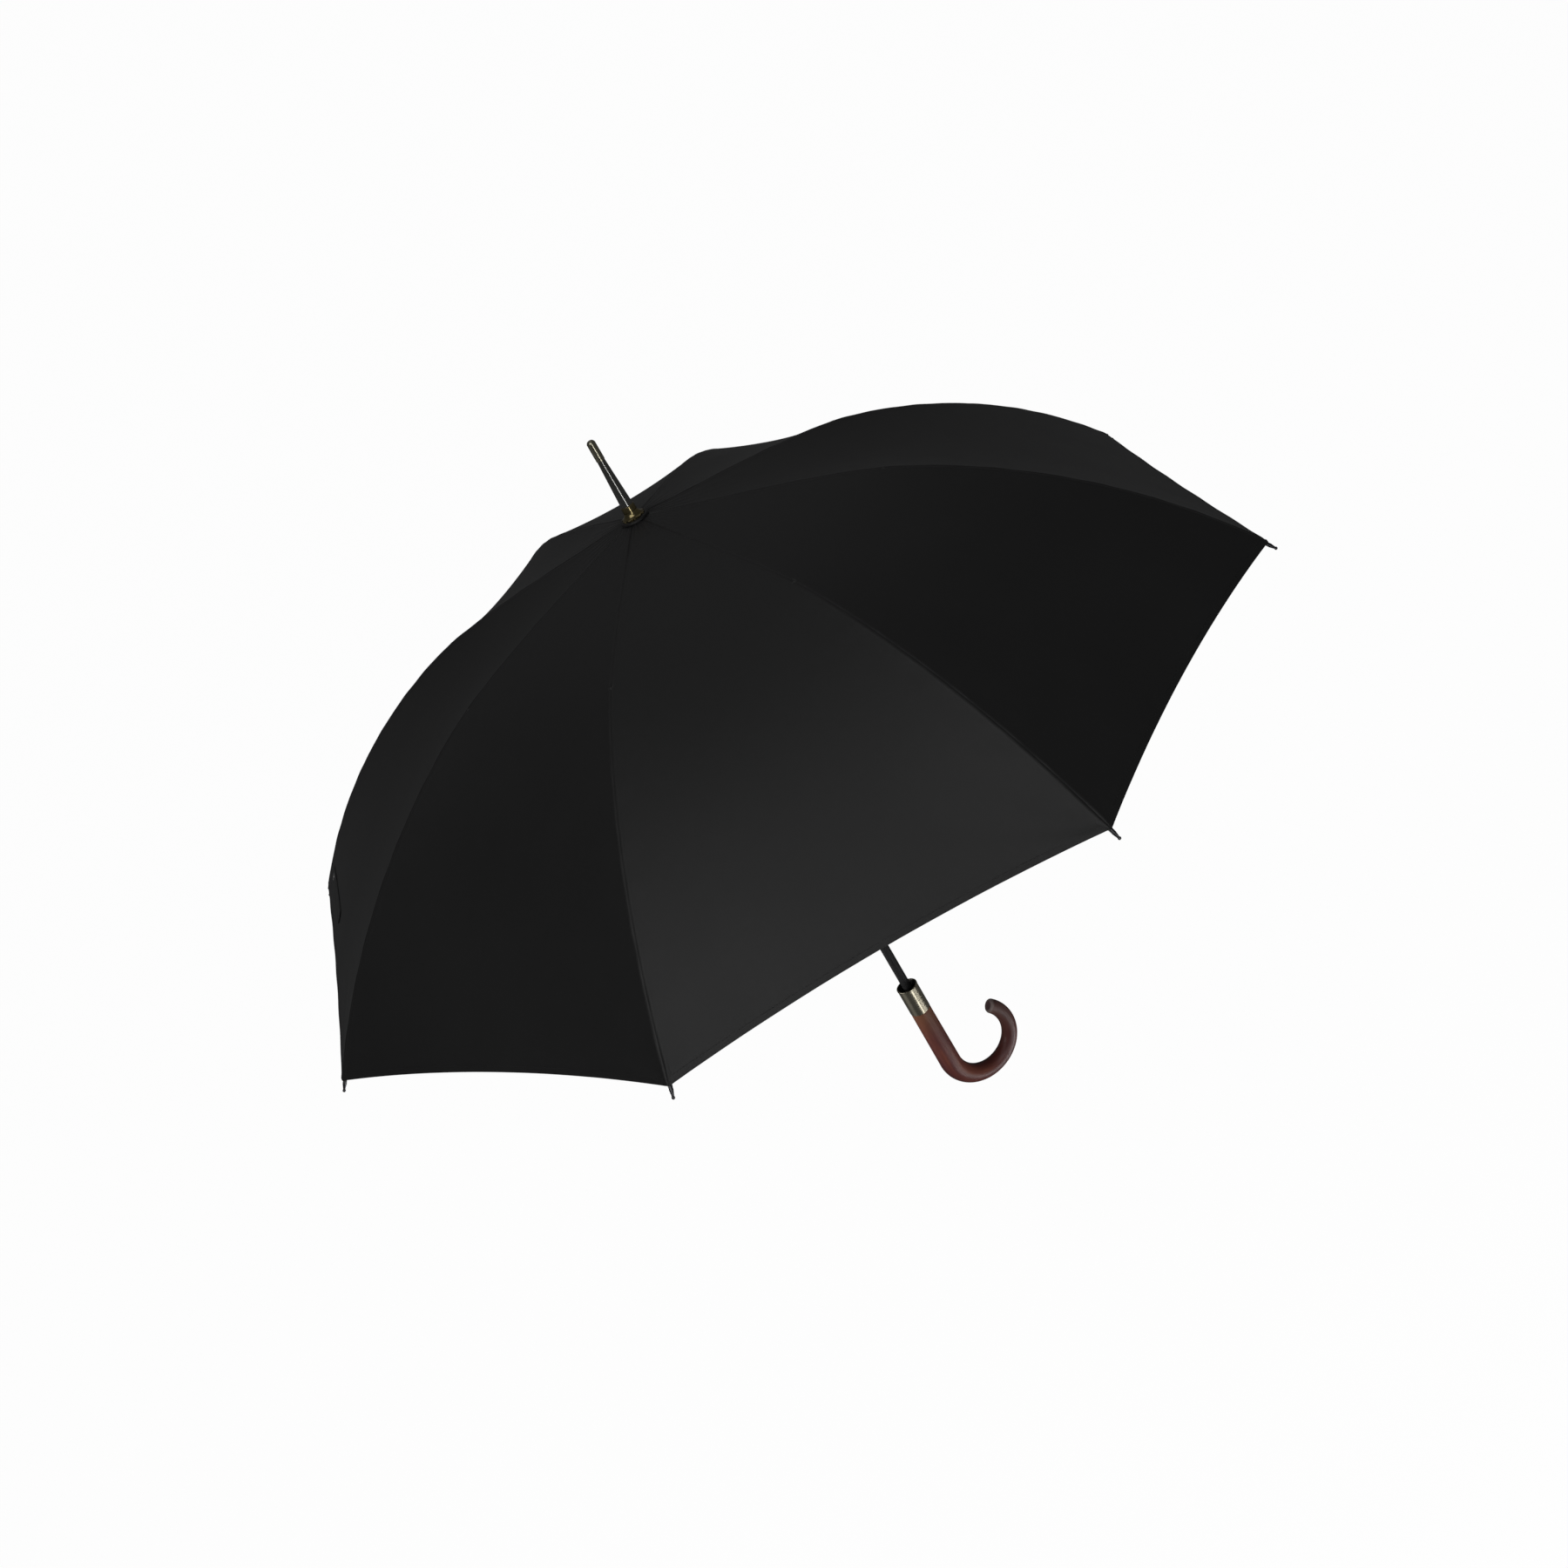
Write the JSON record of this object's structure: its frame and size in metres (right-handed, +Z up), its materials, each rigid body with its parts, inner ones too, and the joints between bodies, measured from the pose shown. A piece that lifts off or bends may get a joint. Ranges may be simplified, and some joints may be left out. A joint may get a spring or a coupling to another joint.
{
  "type": "stick_umbrella",
  "caption": "Open black stick umbrella with eight panels, steel ribs and stretchers, sliding runner, brass fittings and a wooden crook handle",
  "frame": {"origin": "on the shaft's axis, at the level of the crook handle's lowest point", "axes": "+Z up along the shaft towards the ferrule, +X from the shaft towards the open side of the crook, +Y completes a right-handed frame"},
  "size_m": [1.0574, 1.0574, 0.8585],
  "materials": {
    "canopy_fabric": "tight black pongee polyester weave with a soft sheen",
    "stained_wood": "reddish brown stained hardwood under satin lacquer",
    "antique_brass": "aged brass, dark in the hollows and bright on the edges",
    "black_chrome": "dark polished plating",
    "shaft_enamel": "satin black enamel on steel tube",
    "rib_enamel": "black stoved enamel on fluted steel",
    "black_nylon": "moulded black nylon",
    "spring_steel": "bright drawn wire"
  },
  "bodies": {
    "shaft": {"shaft_tube": "shaft_enamel", "ferrule": "black_chrome", "ferrule_cap": "antique_brass", "crown_cap": "antique_brass", "crown_washer": "canopy_fabric", "top_notch": "black_nylon", "notch_wire": "spring_steel", "stop_ring": "black_nylon", "tip_cup": "antique_brass", "cup_liner": "black_nylon", "handle_crook": "stained_wood", "handle_pin": "spring_steel"},
    "runner": {"runner_crown": "black_nylon", "runner_sleeve": "black_nylon", "runner_wire": "spring_steel"},
    "top_catch": {"top_catch": "spring_steel"},
    "bottom_catch": {"bottom_catch": "spring_steel"},
    "rib_1": {"rib_1": "rib_enamel"},
    "rib_end_1": {"rib_end_1": "rib_enamel"},
    "stretcher_1": {"stretcher_1": "rib_enamel"},
    "panel_upper_1": {"canopy_panel_upper_1": "canopy_fabric"},
    "panel_lower_1": {"canopy_panel_lower_1": "canopy_fabric"},
    "rib_2": {"rib_2": "rib_enamel"},
    "rib_end_2": {"rib_end_2": "rib_enamel"},
    "stretcher_2": {"stretcher_2": "rib_enamel"},
    "panel_upper_2": {"canopy_panel_upper_2": "canopy_fabric"},
    "panel_lower_2": {"canopy_panel_lower_2": "canopy_fabric"},
    "rib_3": {"rib_3": "rib_enamel"},
    "rib_end_3": {"rib_end_3": "rib_enamel"},
    "stretcher_3": {"stretcher_3": "rib_enamel"},
    "panel_upper_3": {"canopy_panel_upper_3": "canopy_fabric"},
    "panel_lower_3": {"canopy_panel_lower_3": "canopy_fabric"},
    "rib_4": {"rib_4": "rib_enamel"},
    "rib_end_4": {"rib_end_4": "rib_enamel"},
    "stretcher_4": {"stretcher_4": "rib_enamel"},
    "panel_upper_4": {"canopy_panel_upper_4": "canopy_fabric"},
    "panel_lower_4": {"canopy_panel_lower_4": "canopy_fabric", "tie_strap": "canopy_fabric", "strap_snap": "spring_steel"},
    "rib_5": {"rib_5": "rib_enamel"},
    "rib_end_5": {"rib_end_5": "rib_enamel"},
    "stretcher_5": {"stretcher_5": "rib_enamel"},
    "panel_upper_5": {"canopy_panel_upper_5": "canopy_fabric"},
    "panel_lower_5": {"canopy_panel_lower_5": "canopy_fabric"},
    "rib_6": {"rib_6": "rib_enamel"},
    "rib_end_6": {"rib_end_6": "rib_enamel"},
    "stretcher_6": {"stretcher_6": "rib_enamel"},
    "panel_upper_6": {"canopy_panel_upper_6": "canopy_fabric"},
    "panel_lower_6": {"canopy_panel_lower_6": "canopy_fabric"},
    "rib_7": {"rib_7": "rib_enamel"},
    "rib_end_7": {"rib_end_7": "rib_enamel"},
    "stretcher_7": {"stretcher_7": "rib_enamel"},
    "panel_upper_7": {"canopy_panel_upper_7": "canopy_fabric"},
    "panel_lower_7": {"canopy_panel_lower_7": "canopy_fabric"},
    "rib_8": {"rib_8": "rib_enamel"},
    "rib_end_8": {"rib_end_8": "rib_enamel"},
    "stretcher_8": {"stretcher_8": "rib_enamel"},
    "panel_upper_8": {"canopy_panel_upper_8": "canopy_fabric"},
    "panel_lower_8": {"canopy_panel_lower_8": "canopy_fabric"}
  },
  "joints": [
    {"name": "runner_slide", "type": "slide", "parent": "shaft", "child": "runner", "axis": [0, 0, -1], "range_m": [0, 0.3349], "deforming": ["canopy_panel_upper_1", "canopy_panel_upper_2", "canopy_panel_upper_3", "canopy_panel_upper_4", "canopy_panel_upper_5", "canopy_panel_upper_6", "canopy_panel_upper_7", "canopy_panel_upper_8", "canopy_panel_lower_1", "canopy_panel_lower_2", "canopy_panel_lower_3", "canopy_panel_lower_4", "canopy_panel_lower_5", "canopy_panel_lower_6", "canopy_panel_lower_7", "canopy_panel_lower_8", "tie_strap", "strap_snap"]},
    {"name": "rib_hinge_1", "type": "hinge", "parent": "shaft", "child": "rib_1", "pos_m": [0.00888, 0.00145, 0.7655], "axis": [-0.1607, 0.987, 0], "range_deg": [-0.5, 78.88]},
    {"name": "rib_end_hinge_1", "type": "hinge", "parent": "rib_1", "child": "rib_end_1", "pos_m": [0.23491, 0.03826, 0.723], "axis": [0.1607, -0.987, 0], "range_deg": [-0.5, 24.11]},
    {"name": "stretcher_hinge_1", "type": "hinge", "parent": "rib_1", "child": "stretcher_1", "pos_m": [0.23355, 0.03804, 0.71767], "axis": [0.1607, -0.987, 0], "range_deg": [-0.5, 146.49]},
    {"name": "panel_upper_hinge_1", "type": "hinge", "parent": "shaft", "child": "panel_upper_1", "pos_m": [0.00707, 0.00438, 0.7655], "axis": [-0.5262, 0.8504, 0], "range_deg": [-0.5, 77.96]},
    {"name": "panel_lower_hinge_1", "type": "hinge", "parent": "panel_upper_1", "child": "panel_lower_1", "pos_m": [0.18698, 0.11571, 0.7253], "axis": [0.5262, -0.8504, 0], "range_deg": [-0.5, 26.74]},
    {"name": "rib_hinge_2", "type": "hinge", "parent": "shaft", "child": "rib_2", "pos_m": [0.00526, 0.0073, 0.7655], "axis": [-0.8116, 0.5842, 0], "range_deg": [-0.5, 78.88]},
    {"name": "rib_end_hinge_2", "type": "hinge", "parent": "rib_2", "child": "rib_end_2", "pos_m": [0.13905, 0.19315, 0.723], "axis": [0.8116, -0.5842, 0], "range_deg": [-0.5, 24.11]},
    {"name": "stretcher_hinge_2", "type": "hinge", "parent": "rib_2", "child": "stretcher_2", "pos_m": [0.13825, 0.19204, 0.71767], "axis": [0.8116, -0.5842, 0], "range_deg": [-0.5, 146.49]},
    {"name": "panel_upper_hinge_2", "type": "hinge", "parent": "shaft", "child": "panel_upper_2", "pos_m": [0.00191, 0.00809, 0.7655], "axis": [-0.9734, 0.2292, 0], "range_deg": [-0.5, 77.96]},
    {"name": "panel_lower_hinge_2", "type": "hinge", "parent": "panel_upper_2", "child": "panel_lower_2", "pos_m": [0.0504, 0.21403, 0.7253], "axis": [0.9734, -0.2292, 0], "range_deg": [-0.5, 26.74]},
    {"name": "rib_hinge_3", "type": "hinge", "parent": "shaft", "child": "rib_3", "pos_m": [-0.00145, 0.00888, 0.7655], "axis": [-0.987, -0.1607, 0], "range_deg": [-0.5, 78.88]},
    {"name": "rib_end_hinge_3", "type": "hinge", "parent": "rib_3", "child": "rib_end_3", "pos_m": [-0.03826, 0.23491, 0.723], "axis": [0.987, 0.1607, 0], "range_deg": [-0.5, 24.11]},
    {"name": "stretcher_hinge_3", "type": "hinge", "parent": "rib_3", "child": "stretcher_3", "pos_m": [-0.03804, 0.23355, 0.71767], "axis": [0.987, 0.1607, 0], "range_deg": [-0.5, 146.49]},
    {"name": "panel_upper_hinge_3", "type": "hinge", "parent": "shaft", "child": "panel_upper_3", "pos_m": [-0.00438, 0.00707, 0.7655], "axis": [-0.8504, -0.5262, 0], "range_deg": [-0.5, 77.96]},
    {"name": "panel_lower_hinge_3", "type": "hinge", "parent": "panel_upper_3", "child": "panel_lower_3", "pos_m": [-0.11571, 0.18698, 0.7253], "axis": [0.8504, 0.5262, 0], "range_deg": [-0.5, 26.74]},
    {"name": "rib_hinge_4", "type": "hinge", "parent": "shaft", "child": "rib_4", "pos_m": [-0.0073, 0.00526, 0.7655], "axis": [-0.5842, -0.8116, 0], "range_deg": [-0.5, 78.88]},
    {"name": "rib_end_hinge_4", "type": "hinge", "parent": "rib_4", "child": "rib_end_4", "pos_m": [-0.19315, 0.13905, 0.723], "axis": [0.5842, 0.8116, 0], "range_deg": [-0.5, 24.11]},
    {"name": "stretcher_hinge_4", "type": "hinge", "parent": "rib_4", "child": "stretcher_4", "pos_m": [-0.19204, 0.13825, 0.71767], "axis": [0.5842, 0.8116, 0], "range_deg": [-0.5, 146.49]},
    {"name": "panel_upper_hinge_4", "type": "hinge", "parent": "shaft", "child": "panel_upper_4", "pos_m": [-0.00809, 0.00191, 0.7655], "axis": [-0.2292, -0.9734, 0], "range_deg": [-0.5, 77.96]},
    {"name": "panel_lower_hinge_4", "type": "hinge", "parent": "panel_upper_4", "child": "panel_lower_4", "pos_m": [-0.21403, 0.0504, 0.7253], "axis": [0.2292, 0.9734, 0], "range_deg": [-0.5, 26.74]},
    {"name": "rib_hinge_5", "type": "hinge", "parent": "shaft", "child": "rib_5", "pos_m": [-0.00888, -0.00145, 0.7655], "axis": [0.1607, -0.987, 0], "range_deg": [-0.5, 78.88]},
    {"name": "rib_end_hinge_5", "type": "hinge", "parent": "rib_5", "child": "rib_end_5", "pos_m": [-0.23491, -0.03826, 0.723], "axis": [-0.1607, 0.987, 0], "range_deg": [-0.5, 24.11]},
    {"name": "stretcher_hinge_5", "type": "hinge", "parent": "rib_5", "child": "stretcher_5", "pos_m": [-0.23355, -0.03804, 0.71767], "axis": [-0.1607, 0.987, 0], "range_deg": [-0.5, 146.49]},
    {"name": "panel_upper_hinge_5", "type": "hinge", "parent": "shaft", "child": "panel_upper_5", "pos_m": [-0.00707, -0.00438, 0.7655], "axis": [0.5262, -0.8504, 0], "range_deg": [-0.5, 77.96]},
    {"name": "panel_lower_hinge_5", "type": "hinge", "parent": "panel_upper_5", "child": "panel_lower_5", "pos_m": [-0.18698, -0.11571, 0.7253], "axis": [-0.5262, 0.8504, 0], "range_deg": [-0.5, 26.74]},
    {"name": "rib_hinge_6", "type": "hinge", "parent": "shaft", "child": "rib_6", "pos_m": [-0.00526, -0.0073, 0.7655], "axis": [0.8116, -0.5842, 0], "range_deg": [-0.5, 78.88]},
    {"name": "rib_end_hinge_6", "type": "hinge", "parent": "rib_6", "child": "rib_end_6", "pos_m": [-0.13905, -0.19315, 0.723], "axis": [-0.8116, 0.5842, 0], "range_deg": [-0.5, 24.11]},
    {"name": "stretcher_hinge_6", "type": "hinge", "parent": "rib_6", "child": "stretcher_6", "pos_m": [-0.13825, -0.19204, 0.71767], "axis": [-0.8116, 0.5842, 0], "range_deg": [-0.5, 146.49]},
    {"name": "panel_upper_hinge_6", "type": "hinge", "parent": "shaft", "child": "panel_upper_6", "pos_m": [-0.00191, -0.00809, 0.7655], "axis": [0.9734, -0.2292, 0], "range_deg": [-0.5, 77.96]},
    {"name": "panel_lower_hinge_6", "type": "hinge", "parent": "panel_upper_6", "child": "panel_lower_6", "pos_m": [-0.0504, -0.21403, 0.7253], "axis": [-0.9734, 0.2292, 0], "range_deg": [-0.5, 26.74]},
    {"name": "rib_hinge_7", "type": "hinge", "parent": "shaft", "child": "rib_7", "pos_m": [0.00145, -0.00888, 0.7655], "axis": [0.987, 0.1607, 0], "range_deg": [-0.5, 78.88]},
    {"name": "rib_end_hinge_7", "type": "hinge", "parent": "rib_7", "child": "rib_end_7", "pos_m": [0.03826, -0.23491, 0.723], "axis": [-0.987, -0.1607, 0], "range_deg": [-0.5, 24.11]},
    {"name": "stretcher_hinge_7", "type": "hinge", "parent": "rib_7", "child": "stretcher_7", "pos_m": [0.03804, -0.23355, 0.71767], "axis": [-0.987, -0.1607, 0], "range_deg": [-0.5, 146.49]},
    {"name": "panel_upper_hinge_7", "type": "hinge", "parent": "shaft", "child": "panel_upper_7", "pos_m": [0.00438, -0.00707, 0.7655], "axis": [0.8504, 0.5262, 0], "range_deg": [-0.5, 77.96]},
    {"name": "panel_lower_hinge_7", "type": "hinge", "parent": "panel_upper_7", "child": "panel_lower_7", "pos_m": [0.11571, -0.18698, 0.7253], "axis": [-0.8504, -0.5262, 0], "range_deg": [-0.5, 26.74]},
    {"name": "rib_hinge_8", "type": "hinge", "parent": "shaft", "child": "rib_8", "pos_m": [0.0073, -0.00526, 0.7655], "axis": [0.5842, 0.8116, 0], "range_deg": [-0.5, 78.88]},
    {"name": "rib_end_hinge_8", "type": "hinge", "parent": "rib_8", "child": "rib_end_8", "pos_m": [0.19315, -0.13905, 0.723], "axis": [-0.5842, -0.8116, 0], "range_deg": [-0.5, 24.11]},
    {"name": "stretcher_hinge_8", "type": "hinge", "parent": "rib_8", "child": "stretcher_8", "pos_m": [0.19204, -0.13825, 0.71767], "axis": [-0.5842, -0.8116, 0], "range_deg": [-0.5, 146.49]},
    {"name": "panel_upper_hinge_8", "type": "hinge", "parent": "shaft", "child": "panel_upper_8", "pos_m": [0.00809, -0.00191, 0.7655], "axis": [0.2292, 0.9734, 0], "range_deg": [-0.5, 77.96]},
    {"name": "panel_lower_hinge_8", "type": "hinge", "parent": "panel_upper_8", "child": "panel_lower_8", "pos_m": [0.21403, -0.0504, 0.7253], "axis": [-0.2292, -0.9734, 0], "range_deg": [-0.5, 26.74]},
    {"name": "top_catch_press", "type": "hinge", "parent": "shaft", "child": "top_catch", "pos_m": [-0.00142, 0.0023, 0.5497], "axis": [0.8504, 0.5262, 0], "range_deg": [0, 4.7], "stiffness_Nm_per_rad": 0.5, "springref_deg": -2.29},
    {"name": "bottom_catch_press", "type": "hinge", "parent": "shaft", "child": "bottom_catch", "pos_m": [-0.00142, 0.0023, 0.26708], "axis": [-0.8504, -0.5262, 0], "range_deg": [0, 4.7], "stiffness_Nm_per_rad": 0.5, "springref_deg": -2.29}
  ],
  "couplings": [
    {"joint": "rib_hinge_1", "follows": "runner_slide", "rad_per_m": 4.0847},
    {"joint": "rib_end_hinge_1", "follows": "runner_slide", "rad_per_m": 1.2304},
    {"joint": "stretcher_hinge_1", "follows": "runner_slide", "rad_per_m": 7.6079},
    {"joint": "panel_upper_hinge_1", "follows": "runner_slide", "rad_per_m": 4.0369},
    {"joint": "panel_lower_hinge_1", "follows": "runner_slide", "rad_per_m": 1.3672},
    {"joint": "rib_hinge_2", "follows": "runner_slide", "rad_per_m": 4.0847},
    {"joint": "rib_end_hinge_2", "follows": "runner_slide", "rad_per_m": 1.2304},
    {"joint": "stretcher_hinge_2", "follows": "runner_slide", "rad_per_m": 7.6079},
    {"joint": "panel_upper_hinge_2", "follows": "runner_slide", "rad_per_m": 4.0369},
    {"joint": "panel_lower_hinge_2", "follows": "runner_slide", "rad_per_m": 1.3672},
    {"joint": "rib_hinge_3", "follows": "runner_slide", "rad_per_m": 4.0847},
    {"joint": "rib_end_hinge_3", "follows": "runner_slide", "rad_per_m": 1.2304},
    {"joint": "stretcher_hinge_3", "follows": "runner_slide", "rad_per_m": 7.6079},
    {"joint": "panel_upper_hinge_3", "follows": "runner_slide", "rad_per_m": 4.0369},
    {"joint": "panel_lower_hinge_3", "follows": "runner_slide", "rad_per_m": 1.3672},
    {"joint": "rib_hinge_4", "follows": "runner_slide", "rad_per_m": 4.0847},
    {"joint": "rib_end_hinge_4", "follows": "runner_slide", "rad_per_m": 1.2304},
    {"joint": "stretcher_hinge_4", "follows": "runner_slide", "rad_per_m": 7.6079},
    {"joint": "panel_upper_hinge_4", "follows": "runner_slide", "rad_per_m": 4.0369},
    {"joint": "panel_lower_hinge_4", "follows": "runner_slide", "rad_per_m": 1.3672},
    {"joint": "rib_hinge_5", "follows": "runner_slide", "rad_per_m": 4.0847},
    {"joint": "rib_end_hinge_5", "follows": "runner_slide", "rad_per_m": 1.2304},
    {"joint": "stretcher_hinge_5", "follows": "runner_slide", "rad_per_m": 7.6079},
    {"joint": "panel_upper_hinge_5", "follows": "runner_slide", "rad_per_m": 4.0369},
    {"joint": "panel_lower_hinge_5", "follows": "runner_slide", "rad_per_m": 1.3672},
    {"joint": "rib_hinge_6", "follows": "runner_slide", "rad_per_m": 4.0847},
    {"joint": "rib_end_hinge_6", "follows": "runner_slide", "rad_per_m": 1.2304},
    {"joint": "stretcher_hinge_6", "follows": "runner_slide", "rad_per_m": 7.6079},
    {"joint": "panel_upper_hinge_6", "follows": "runner_slide", "rad_per_m": 4.0369},
    {"joint": "panel_lower_hinge_6", "follows": "runner_slide", "rad_per_m": 1.3672},
    {"joint": "rib_hinge_7", "follows": "runner_slide", "rad_per_m": 4.0847},
    {"joint": "rib_end_hinge_7", "follows": "runner_slide", "rad_per_m": 1.2304},
    {"joint": "stretcher_hinge_7", "follows": "runner_slide", "rad_per_m": 7.6079},
    {"joint": "panel_upper_hinge_7", "follows": "runner_slide", "rad_per_m": 4.0369},
    {"joint": "panel_lower_hinge_7", "follows": "runner_slide", "rad_per_m": 1.3672},
    {"joint": "rib_hinge_8", "follows": "runner_slide", "rad_per_m": 4.0847},
    {"joint": "rib_end_hinge_8", "follows": "runner_slide", "rad_per_m": 1.2304},
    {"joint": "stretcher_hinge_8", "follows": "runner_slide", "rad_per_m": 7.6079},
    {"joint": "panel_upper_hinge_8", "follows": "runner_slide", "rad_per_m": 4.0369},
    {"joint": "panel_lower_hinge_8", "follows": "runner_slide", "rad_per_m": 1.3672}
  ]
}
